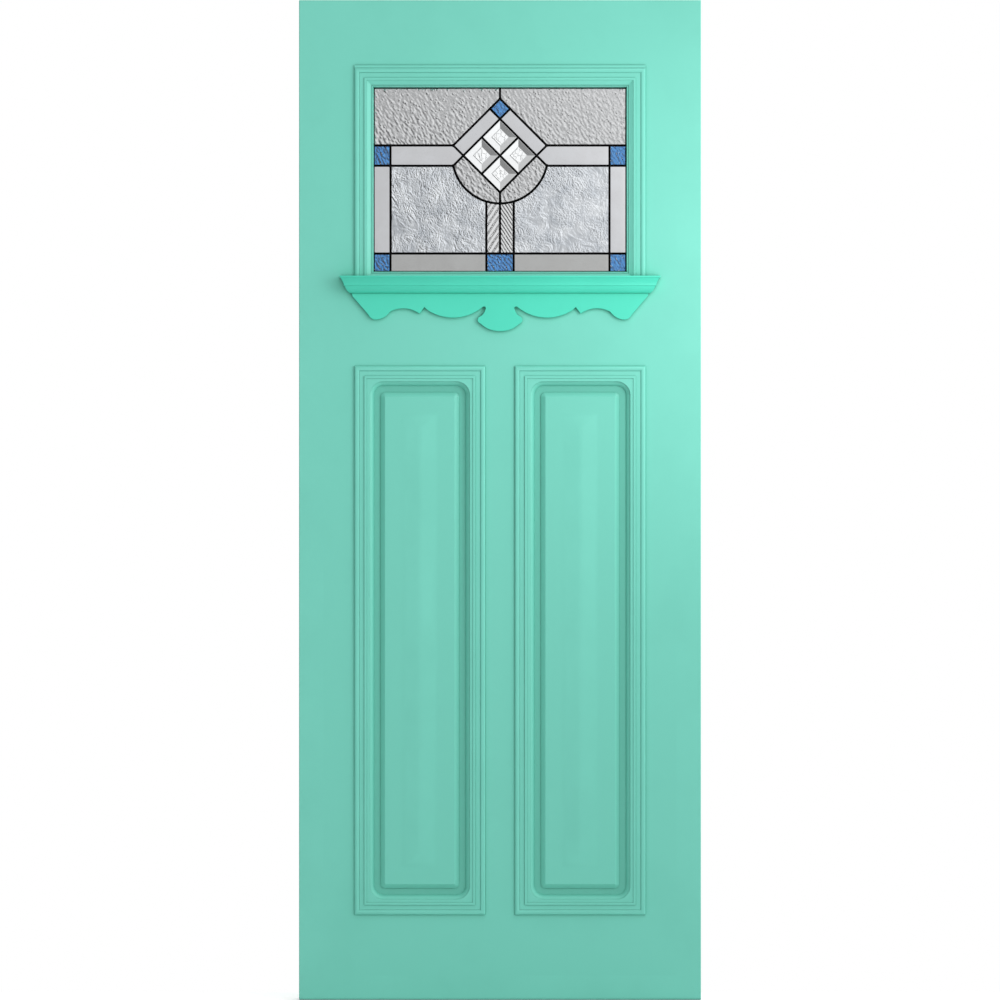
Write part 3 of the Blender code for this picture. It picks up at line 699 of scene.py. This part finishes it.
def arc(start, via, end, steps):
    """Points of the arc from start through via to end, without its start."""
    (ax, az), (bx, bz), (cx, cz) = start, via, end
    twice = 2 * (ax * (bz - cz) + bx * (cz - az) + cx * (az - bz))
    a2, b2, c2 = ax * ax + az * az, bx * bx + bz * bz, cx * cx + cz * cz
    mx = (a2 * (bz - cz) + b2 * (cz - az) + c2 * (az - bz)) / twice
    mz = (a2 * (cx - bx) + b2 * (ax - cx) + c2 * (bx - ax)) / twice
    radius = math.hypot(ax - mx, az - mz)
    first, middle, last = (math.atan2(z - mz, x - mx) for x, z in (start, via, end))
    turn = (last - first) % math.tau
    if (middle - first) % math.tau > turn:
        turn -= math.tau
    angles = [first + turn * step / steps for step in range(1, steps + 1)]
    return [(mx + radius * math.cos(t), mz + radius * math.sin(t)) for t in angles]


half_length = (APRON_HIGH.x - APRON_LOW.x) / 2
fall = APRON_HIGH.z - APRON_LOW.z
line = [(0.0, -fall)]
for via, end in TURNS:
    end = (end[0] * half_length, -end[1] * fall)
    if via:
        line += arc(line[-1], (via[0] * half_length, -via[1] * fall), end, APRON_STEPS)
    else:
        line.append(end)
line += [(-x, z) for x, z in reversed(line[1:])]
bm = bmesh.new()
back = bm.faces.new([bm.verts.new((MIDDLE + x, APRON_HIGH.y, APRON_HIGH.z + z)) for x, z in line])
grown = bmesh.ops.extrude_face_region(bm, geom=[back])
bmesh.ops.translate(bm, verts=new_items(grown), vec=(0, APRON_LOW.y - APRON_HIGH.y, 0))
arris_y = APRON_LOW.y + SLIVER
ease(bm, APRON_EASE, segments=3,
     chosen=lambda edge: all(v.co.y < arris_y for v in edge.verts))
keep("apron_board", bm, SHELF_ENAMEL, "shelf_paint", "shelf_apron")

# %% [markdown]
# ## Lead lattice and solder
# The lattice stands where the solid says. Its mesh is copied and merged, and the flat faces of
# the came are rounded over to the slight dome that drawn came has. Wherever cames meet, a joint
# was made with a drop of solder, which leaves a low flat blob on both faces.

# %% Build the lead
DOME = 0.5 * MM


def merged_copy(node):
    """A bmesh of a CAD node's mesh with its triangles merged into whole faces."""
    bm = bmesh.new()
    bm.from_mesh(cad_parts[node].data)
    bmesh.ops.remove_doubles(bm, verts=bm.verts[:], dist=MERGE)
    bmesh.ops.dissolve_limit(bm, angle_limit=math.radians(0.5), verts=bm.verts[:],
                             edges=bm.edges[:])
    return bm


def on_faces(edge):
    """Whether an edge lies in the front or back face of the lattice."""
    depths = [v.co.y for v in edge.verts]
    return max(depths) < LEAD_LOW.y + SLIVER or min(depths) > LEAD_HIGH.y - SLIVER


bm = merged_copy("lead_came")
ease(bm, DOME, over=60, segments=3, chosen=on_faces)
keep("lead_lattice", bm, LEAD, "lead", "lead_came", smooth=50)

GLASS_NODES = sorted(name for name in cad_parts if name.startswith("glass_"))
OUTLINES = {}
for name in GLASS_NODES:
    bm = merged_copy(name)
    back = max(bm.faces, key=lambda f: (round(f.calc_center_median().y, 5), f.calc_area()))
    OUTLINES[name] = [Vector((v.co.x, v.co.z)) for v in back.verts]
    bm.free()
print("glass outlines:", {name: len(line) for name, line in OUTLINES.items()})

# %% Solder the joints
JOINT_REACH = 3.4 * MM
SOLDER_RADIUS = 3.3 * MM
SOLDER_LIFT = 0.45 * MM
SOLDER_SINK = 0.2 * MM
SOLDER_STRAY = 0.14


def joints():
    """Middles of the places where three or more pieces of glass have a corner together."""
    corners = []
    for name, line in OUTLINES.items():
        for before, here, after in zip(line[-1:] + line[:-1], line, line[1:] + line[:1]):
            bend = (here - before).angle(after - here, 0)
            if bend > math.radians(16):
                corners.append(here)
    found = []
    for corner in corners:
        near = [other for other in corners if (other - corner).length < JOINT_REACH]
        middle = sum(near, Vector((0, 0))) / len(near)
        if len(near) >= 3 and all((middle - old).length > JOINT_REACH for old in found):
            found.append(middle)
    return found


JOINTS = joints()
bm = bmesh.new()
for number, spot in enumerate(JOINTS):
    for depth in (LEAD_LOW.y + SOLDER_SINK, LEAD_HIGH.y - SOLDER_SINK):
        swell = 1 + SOLDER_STRAY * math.sin(2.4 * number)
        place = Matrix.Translation((spot.x, depth, spot.y))
        lean = Matrix.Rotation(1.3 * number, 4, "Y")
        flat = Matrix.Diagonal((SOLDER_RADIUS * swell, SOLDER_LIFT, SOLDER_RADIUS / swell, 1))
        bmesh.ops.create_icosphere(bm, subdivisions=3, radius=1.0, matrix=place @ lean @ flat)
keep("solder_joints", bm, SOLDER, "lead")
print(len(JOINTS), "joints soldered on both faces")

# %% [markdown]
# ## Glass with relief
# Each kind of glass has its own figure on the front and a flat back. Hammered glass is rolled
# with small irregular dimples. Glue chip glass has had its skin torn off by drying glue, which
# leaves feathers. Reeded glass has straight ribs, and the bars are plain. The figure has to be
# real relief, since what shows is how it bends light. A fine grid is laid over each outline, cut
# along it, given its back, and then pressed. Bevelled squares keep the facets of their solids.

# %% Helpers for the glass
from mathutils import noise

GRID = 0.85 * MM
MARGIN = 1.2 * MM
DEEPEST = 2.8 * MM


def inside(line, x, z):
    """Whether a point lies within an outline."""
    odd = False
    for a, b in zip(line, line[1:] + line[:1]):
        if (a.y > z) != (b.y > z) and x < a.x + (z - a.y) / (b.y - a.y) * (b.x - a.x):
            odd = not odd
    return odd


def sheet(line, y, cell):
    """A fine grid in the XZ plane, trimmed to an outline."""
    xs, zs = [p.x for p in line], [p.y for p in line]
    wide, tall = max(xs) - min(xs), max(zs) - min(zs)
    bm = plane(wide, tall, (math.ceil(wide / cell), math.ceil(tall / cell)))
    bmesh.ops.rotate(bm, matrix=Matrix.Rotation(math.pi / 2, 3, "X"), verts=bm.verts[:])
    bmesh.ops.translate(bm, vec=((max(xs) + min(xs)) / 2, y, (max(zs) + min(zs)) / 2),
                        verts=bm.verts[:])
    for a, b in zip(line, line[1:] + line[:1]):
        along = (b - a).normalized()
        middle, half = (a + b) / 2, (b - a).length / 2
        near = []
        for face in bm.faces:
            centre = face.calc_center_median()
            away = Vector((centre.x, centre.z)) - middle
            if abs(away.dot(along)) < half + 2 * cell and abs(away.cross(along)) < 1.5 * cell:
                near.append(face)
        edges = list({edge for face in near for edge in face.edges})
        verts = list({v for face in near for v in face.verts})
        bmesh.ops.bisect_plane(bm, geom=verts + edges + near, plane_co=(a.x, y, a.y),
                               plane_no=(-along.y, 0, along.x), dist=MERGE)
    centres = [(face, face.calc_center_median()) for face in bm.faces]
    outside = [face for face, centre in centres if not inside(line, centre.x, centre.z)]
    bmesh.ops.delete(bm, geom=outside, context="FACES")
    return bm


def edge_distance(line, x, z):
    """How far a point is from the nearest side of an outline."""
    here = Vector((x, z))
    nearest = 1.0
    for a, b in zip(line, line[1:] + line[:1]):
        side = b - a
        share = max(0.0, min(1.0, (here - a).dot(side) / side.length_squared))
        nearest = min(nearest, (a + side * share - here).length)
    return nearest


def pressed(node, relief, cell=GRID):
    """A piece of glass on its outline, with a figure pressed into its front."""
    line = OUTLINES[node]
    low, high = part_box(node)
    bm = sheet(line, low.y, cell)
    front = set(bm.verts)
    grown = bmesh.ops.extrude_face_region(bm, geom=bm.faces[:])
    bmesh.ops.translate(bm, verts=new_items(grown), vec=(0, high.y - low.y, 0))
    flat = [face for face in bm.faces if all(v.co.y > high.y - SLIVER for v in face.verts)]
    bmesh.ops.dissolve_faces(bm, faces=flat)
    for v in bm.verts:
        if v.is_valid and v in front:
            fade = min(1.0, edge_distance(line, v.co.x, v.co.z) / MARGIN)
            v.co.y += fade * DEEPEST * math.tanh(relief(v.co.x, v.co.z) / DEEPEST)
    return bm


# %% Figures of the glass
HAMMER_SPACING = 7.5 * MM
HAMMER_PIT = 2.5 * MM
HAMMER_DEPTH = 1.7 * MM
HAMMER_RIPPLE = 5.2 * MM
RIPPLE_DEPTH = 0.8 * MM
BOWL_SPACING = 6.0 * MM
BLUE_SPACING = 5.0 * MM
BLUE_PIT = 2.4 * MM
BLUE_RIPPLE = 5.0 * MM
CHIP = 30 * MM
FEATHER = 8.0 * MM
FEATHER_DEPTH = 1.5 * MM
BROAD_REED = 9.6 * MM
FINE_REED = 5.6 * MM
REED_SLOPE = 0.18
REED_LEAN = math.radians(57)
DRAW = 60 * MM
DRAW_DEPTH = 0.05 * MM
FORCE_LEFT, FORCE_FALL, BLUE_FORCE = 1.4, 0.85, 1.3
SLANT = 0.3
GATHER_TOP = 0.25
GATHER_RATE = 2.6
WARP = 1.4
STRAND_SCALE = 2.2
STRAND_PUSH = 2.2
FACE_SHARE = 0.8
WANDER = 0.10


def rolled_force(x):
    """How strong a figure is across the window: in the photograph it fades to the right."""
    return FORCE_LEFT - FORCE_FALL * (x - SIGHT_LOW.x) / (SIGHT_HIGH.x - SIGHT_LOW.x)


def hammered(spacing, pit, ripple, force=1.0):
    """Small deep pits of irregular size on a skin whose soft ripples grow lower down."""
    def relief(x, z):
        low = (SIGHT_HIGH.z - z) / (SIGHT_HIGH.z - SIGHT_LOW.z)
        gather = min(1.0, GATHER_TOP + GATHER_RATE * low)
        spot = Vector((x / spacing + SLANT * z / spacing, z / spacing, 0))
        near = noise.voronoi(spot)[0][0] * spacing
        bowl = max(0.0, 1 - (near / pit) ** 2)
        deep = 0.6 + 0.5 * noise.noise(spot * 0.7)
        wave = noise.noise(Vector((x / ripple + 0.5 * z / ripple, z / (1.6 * ripple), 9)))
        figure = HAMMER_DEPTH * bowl * bowl * deep + RIPPLE_DEPTH * gather * (1 + wave)
        return force * rolled_force(x) * figure
    return relief


def glue_chip(x, z):
    """Feathers: long gentle faces that end in short steep ones, warped into fans."""
    at = Vector((x / CHIP, z / CHIP, 1.7))
    warp = Vector((noise.noise(at), noise.noise(at + Vector((7, 3, 1))), 0))
    swirl = at + warp * WARP
    strands = noise.fractal(swirl * STRAND_SCALE, 0.7, 2.1, 4)
    phase = (x * 0.8 + z * 0.35) / FEATHER + STRAND_PUSH * strands
    saw = phase - math.floor(phase)
    face = saw / FACE_SHARE if saw < FACE_SHARE else (1 - saw) / (1 - FACE_SHARE)
    strength = max(0.0, 0.55 + 0.9 * noise.noise(at * 0.9 + Vector((3, 5, 2))))
    return rolled_force(x) * FEATHER_DEPTH * (strength * face + 0.25 * (1 + strands))


def reeded(pitch, lean):
    """Straight round ribs at a lean, with a little wander."""
    def relief(x, z):
        across_ribs = x * math.sin(lean) - z * math.cos(lean)
        wander = WANDER * noise.noise(Vector((x / 0.01, z / 0.02, 5)))
        turn = math.tau * (across_ribs / pitch + wander)
        return REED_SLOPE * pitch / 2 * (1 + math.cos(turn))
    return relief


def drawn(x, z):
    """Plain old sheet, flat but for long faint waves."""
    return DRAW_DEPTH * (1 + noise.noise(Vector((x / DRAW, z / DRAW, 2))))


print("a hammered pit is", 2 * HAMMER_PIT / MM, "mm across, a fine reed", FINE_REED / MM, "mm")

# %% [markdown]
# ## Finishes of the glass
# Window glass is soda lime glass, IOR 1.52, clear with a slight grey tint here, and fully see
# through. The bottom bars are a greyer sheet. The blue is pot metal, coloured through by cobalt.
# Fine grain in the figure, too small for the mesh, comes from bump, and the tint follows the bump
# as painted shade, darker where the grain lies low. On the glue chip glass this grain is broad,
# so its painted shade lies in soft clouds.

# %% Make the glass
SODA_LIME_IOR = 1.52
GRAIN_DEPTH = 0.2 * MM


def rolled_glass(name, colour, shade, grain, strength, grain_shade_contrast, rough=0.03):
    """See-through glass whose figure also has grain finer than its mesh, with shade painted into
    the grain.
    """
    material, tree, shader = new_material(name)
    place = add_node(tree, "TexCoord").outputs["Object"]
    fine = add_node(tree, "TexNoise", Vector=place, Scale=1 / grain, Detail=3.0, Roughness=0.6,
                    Distortion=0.4)
    # Painted shade: the tint goes to the darker shade colour where the grain's bump lies low
    share = add_node(tree, "MapRange", Value=fine.outputs[0],
                     From_Min=0.5 - grain_shade_contrast, From_Max=0.5 + grain_shade_contrast)
    tint = add_node(tree, "Mix", {"data_type": "RGBA"}, _0=share.outputs[0],
                    _6=linear(shade), _7=linear(colour))
    bump = add_node(tree, "Bump", Strength=strength, Distance=GRAIN_DEPTH, Height=fine.outputs[0])
    feed(shader, Base_Color=tint.outputs[2], Normal=bump.outputs[0], Roughness=rough,
         Transmission_Weight=1.0, IOR=SODA_LIME_IOR)
    return material


HAMMERED = rolled_glass("soda_lime_glass_hammered", "#E6E7E8", "#B6B8BA", 1.8 * MM, 0.3, 0.16)
CHIPPED = rolled_glass("soda_lime_glass_glue_chipped", "#F4F8FC", "#C6CCD3", 34 * MM, 0.2, 0.2,
                       rough=0.05)
REEDED = rolled_glass("soda_lime_glass_reeded", "#E8E9EA", "#CCCECF", 2 * MM, 0.1, 0.2)
PLAIN = rolled_glass("soda_lime_glass_drawn_sheet", "#EDEFF3", "#E6E7EA", 40 * MM, 0.02, 0.2)
SMOKED = rolled_glass("soda_lime_glass_grey_sheet", "#CDCFCE", "#C6C7C6", 40 * MM, 0.02, 0.2)
BEVELLED = rolled_glass("soda_lime_plate_bevelled", "#FAFCFD", "#EDEFF0", 4 * MM, 0.08, 0.2)
COBALT = rolled_glass("cobalt_blue_glass_hammered", "#62A3DC", "#3470B6", 3.0 * MM, 0.4, 0.14)
print("glass is made with an IOR of", SODA_LIME_IOR)

# %% Build every piece of glass
WIDE_PITS = hammered(HAMMER_SPACING, HAMMER_PIT, HAMMER_RIPPLE)
CLOSE_PITS = hammered(BOWL_SPACING, HAMMER_PIT, HAMMER_RIPPLE)
BLUE = (hammered(BLUE_SPACING, BLUE_PIT, BLUE_RIPPLE, BLUE_FORCE), COBALT, "blue_glass")
FIGURES = {
    "hammered_top": (WIDE_PITS, HAMMERED, "textured_glass"),
    "bowl": (CLOSE_PITS, HAMMERED, "textured_glass"),
    "wispy_panel": (glue_chip, CHIPPED, "textured_glass"),
    "reeded_strip_left": (reeded(BROAD_REED, REED_LEAN), REEDED, "textured_glass"),
    "reeded_strip_right": (reeded(FINE_REED, -REED_LEAN), REEDED, "textured_glass"),
    "corner": BLUE, "diamond": BLUE, "centre": BLUE,
    "bottom_bar": (drawn, SMOKED, "plain_glass"),
    "bar": (drawn, PLAIN, "plain_glass"),
}
BAR_GRID = 6 * MM
BEVEL_SOFTEN = 0.3 * MM
CRACKLE = 9.0 * MM
CRACKLE_TILT = Vector((-0.11, -0.03))
CRACKLE_STRAY = 0.06
CRACKLE_CUTS = 40
CRACKLE_DEPTH = 0.8 * MM
# Vector noise takes its seed from the clock unless it is given one
CRACKLE_SEED = 3
noise.seed_set(CRACKLE_SEED)


def crackle(x, z):
    """Small flat facets, all tilted nearly one way, as in chipped ice."""
    spot = Vector((x / CRACKLE, z / CRACKLE, 4))
    middle = noise.voronoi(spot)[1][0]
    stray = noise.noise_vector(middle * 3.1)
    away = spot - middle
    tilt = CRACKLE_TILT + CRACKLE_STRAY * Vector((stray.x, stray.y))
    return CRACKLE * (away.x * tilt.x + away.y * tilt.y)


def bevelled(node):
    """A ground square: the solid's own facets, and a finely crackled flat centre."""
    bm = merged_copy(node)
    ease(bm, BEVEL_SOFTEN, over=8, segments=2)
    centre = max((face for face in bm.faces if face.normal.y < -0.99), key=lambda f: f.calc_area())
    outline = [Vector((v.co.x, v.co.z)) for v in centre.verts]
    low_y = centre.calc_center_median().y
    bmesh.ops.subdivide_edges(bm, edges=centre.edges[:], cuts=CRACKLE_CUTS, use_grid_fill=True)
    for v in bm.verts:
        if abs(v.co.y - low_y) < 0.001 * MM and inside(outline, v.co.x, v.co.z):
            fade = min(1.0, edge_distance(outline, v.co.x, v.co.z) / MARGIN)
            v.co.y += fade * (CRACKLE_DEPTH + crackle(v.co.x, v.co.z))
    return bm


for node in GLASS_NODES:
    if "bevel" in node:
        keep(node.replace("glass_", "pane_"), bevelled(node), BEVELLED, "bevelled_glass", node,
             smooth=4)
        continue
    figure, finish, slot = next(row for key, row in FIGURES.items() if key in node)
    bm = pressed(node, figure, BAR_GRID if finish in (PLAIN, SMOKED) else GRID)
    keep(node.replace("glass_", "pane_"), bm, finish, slot, node, smooth=60)

# %% [markdown]
# ## Beads behind the glass
# Plain sloped beads hold the leadlight in from the back. Their solids already have the right
# shape, so they stay and only take the paint.

# %% Paint the beads
for name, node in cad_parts.items():
    if name.startswith("glazing_bead"):
        node.data.materials.clear()
        node.data.materials.append(RAIL_ENAMEL)

# %% [markdown]
# ## Light
# The door stands in soft light that comes mostly from the right, with a tall soft box close by on
# the upper right, so the paint brightens towards it. The sky that the camera sees is plain white.
# What the glass looks through to is dimmer, and goes from light on the upper right to dark on the
# lower left, as a room behind a door may. It is made up, and the figured glass breaks it up.

# %% Light the door
SKY_SIDE = 0.76
SKY_UP = 0.02
SKY_LEVEL = 0.91
ROOM_SIDE = Vector((-0.90, 0.0, -0.44))
ROOM_LIFT = 0.0253
ROOM_REACH = 0.20
ROOM_BRIGHT = 1.2
ROOM_STOPS = ((0.0, 0.85), (0.27, 0.84), (0.38, 0.94), (0.475, 0.58), (0.60, 0.47),
              (0.75, 0.20), (1.0, 0.01))
ROOM_NEAR = math.radians(20)
ROOM_FAR = math.radians(34)
SOFT_BOX_PLACE = Vector((MIDDLE + 0.62, FRONT - 0.60, 0.50))
SOFT_BOX_SIZE = (0.18, 0.85)
SOFT_BOX_AIM = Vector((MIDDLE, FRONT, 0.40))
SOFT_BOX_POWER = 2.8

world = bpy.data.worlds.new("studio")
bpy.context.scene.world = world
world.use_nodes = True
tree = world.node_tree
seen = add_node(tree, "TexCoord")
parts = add_node(tree, "SeparateXYZ", Vector=seen.outputs["Generated"])
side = add_node(tree, "Math", {"operation": "MULTIPLY_ADD"}, _0=parts.outputs[0],
                _1=SKY_SIDE, _2=1.0)
lift = add_node(tree, "Math", {"operation": "MULTIPLY_ADD"}, _0=parts.outputs[2],
                _1=SKY_UP, _2=side.outputs[0])
level = add_node(tree, "Math", {"operation": "MULTIPLY"}, _0=lift.outputs[0],
                 _1=SKY_LEVEL)
turned = add_node(tree, "VectorMath", {"operation": "DOT_PRODUCT"},
                  _0=seen.outputs["Generated"], _1=ROOM_SIDE)
place = add_node(tree, "MapRange", Value=turned.outputs["Value"],
                 From_Min=-ROOM_REACH - ROOM_LIFT, From_Max=ROOM_REACH - ROOM_LIFT)
wall = add_node(tree, "ValToRGB", _0=place.outputs[0])
while len(wall.color_ramp.elements) < len(ROOM_STOPS):
    wall.color_ramp.elements.new(1.0)
for stop, (spot, grey) in zip(wall.color_ramp.elements, ROOM_STOPS):
    stop.position = spot
    stop.color = (grey, grey, grey, 1.0)
room = add_node(tree, "Math", {"operation": "MULTIPLY"}, _0=wall.outputs[0],
                _1=ROOM_BRIGHT)
behind = add_node(tree, "MapRange", {"interpolation_type": "SMOOTHSTEP"},
                  Value=parts.outputs[1], From_Min=math.cos(ROOM_FAR),
                  From_Max=math.cos(ROOM_NEAR))
both = add_node(tree, "Mix", {"data_type": "FLOAT"}, _0=behind.outputs[0],
                _2=level.outputs[0], _3=room.outputs[0])
rays = add_node(tree, "LightPath")
final = add_node(tree, "Mix", {"data_type": "FLOAT"}, _0=rays.outputs["Is Camera Ray"],
                 _2=both.outputs[0], _3=1.0)
sky = tree.nodes["Background"]
feed(sky, Strength=final.outputs[0], Color=(1.0, 1.0, 1.0, 1.0))

lamp = bpy.data.lights.new("soft_box", "AREA")
lamp.shape = "RECTANGLE"
lamp.size, lamp.size_y = SOFT_BOX_SIZE
lamp.energy = SOFT_BOX_POWER
soft_box = place_object("soft_box", lamp)
soft_box.location = SOFT_BOX_PLACE
aim = SOFT_BOX_AIM - SOFT_BOX_PLACE
soft_box.rotation_euler = aim.to_track_quat("-Z", "Y").to_euler()
soft_box.visible_camera = False
print("soft box stands", round(-SOFT_BOX_PLACE.y, 2), "m in front of the door")

# %% [markdown]
# ## Floor and camera
# The floor is a plain pale sheet under the door, which glows a little to the camera alone. The
# photograph is a straight front view with no sign of convergence, so the lens is long and the
# camera stands level with the door's middle, where the door's height just fills the frame.

# %% Lay the floor and set the camera
FLOOR_SIZE = (5.0, 4.0)
FLOOR_SHIFT = 1.85
FLOOR_GLOW = 0.40
LENS = 200.0
SENSOR = 36.0
bm = plane(*FLOOR_SIZE)
bmesh.ops.translate(bm, vec=(MIDDLE, -FLOOR_SHIFT, LEAF_LOW.z - TOUCH), verts=bm.verts[:])
floor = place_object("floor", as_mesh(bm, "floor", outwards=False))
card, tree, shader = new_material("matt_white_card")
to_eye = add_node(tree, "LightPath")
glow = add_node(tree, "Math", {"operation": "MULTIPLY"}, _0=to_eye.outputs["Is Camera Ray"],
                _1=FLOOR_GLOW)
feed(shader, Base_Color=linear("#E2E2E2"), Roughness=0.9, Emission_Color=(1.0, 1.0, 1.0, 1.0),
     Emission_Strength=glow.outputs[0])
floor.data.materials.append(card)

camera = bpy.data.cameras.new("camera")
camera.lens = LENS
camera.sensor_width = SENSOR
camera.clip_end = 100
eye = place_object("camera", camera)
distance = (LEAF_HIGH.z - LEAF_LOW.z) * LENS / SENSOR
eye.location = (MIDDLE, FRONT - distance, (LEAF_HIGH.z + LEAF_LOW.z) / 2)
eye.rotation_euler = (math.pi / 2, 0, 0)
bpy.context.scene.camera = eye
bpy.context.scene.view_settings.view_transform = "Standard"
print("camera stands", round(distance, 2), "m away")
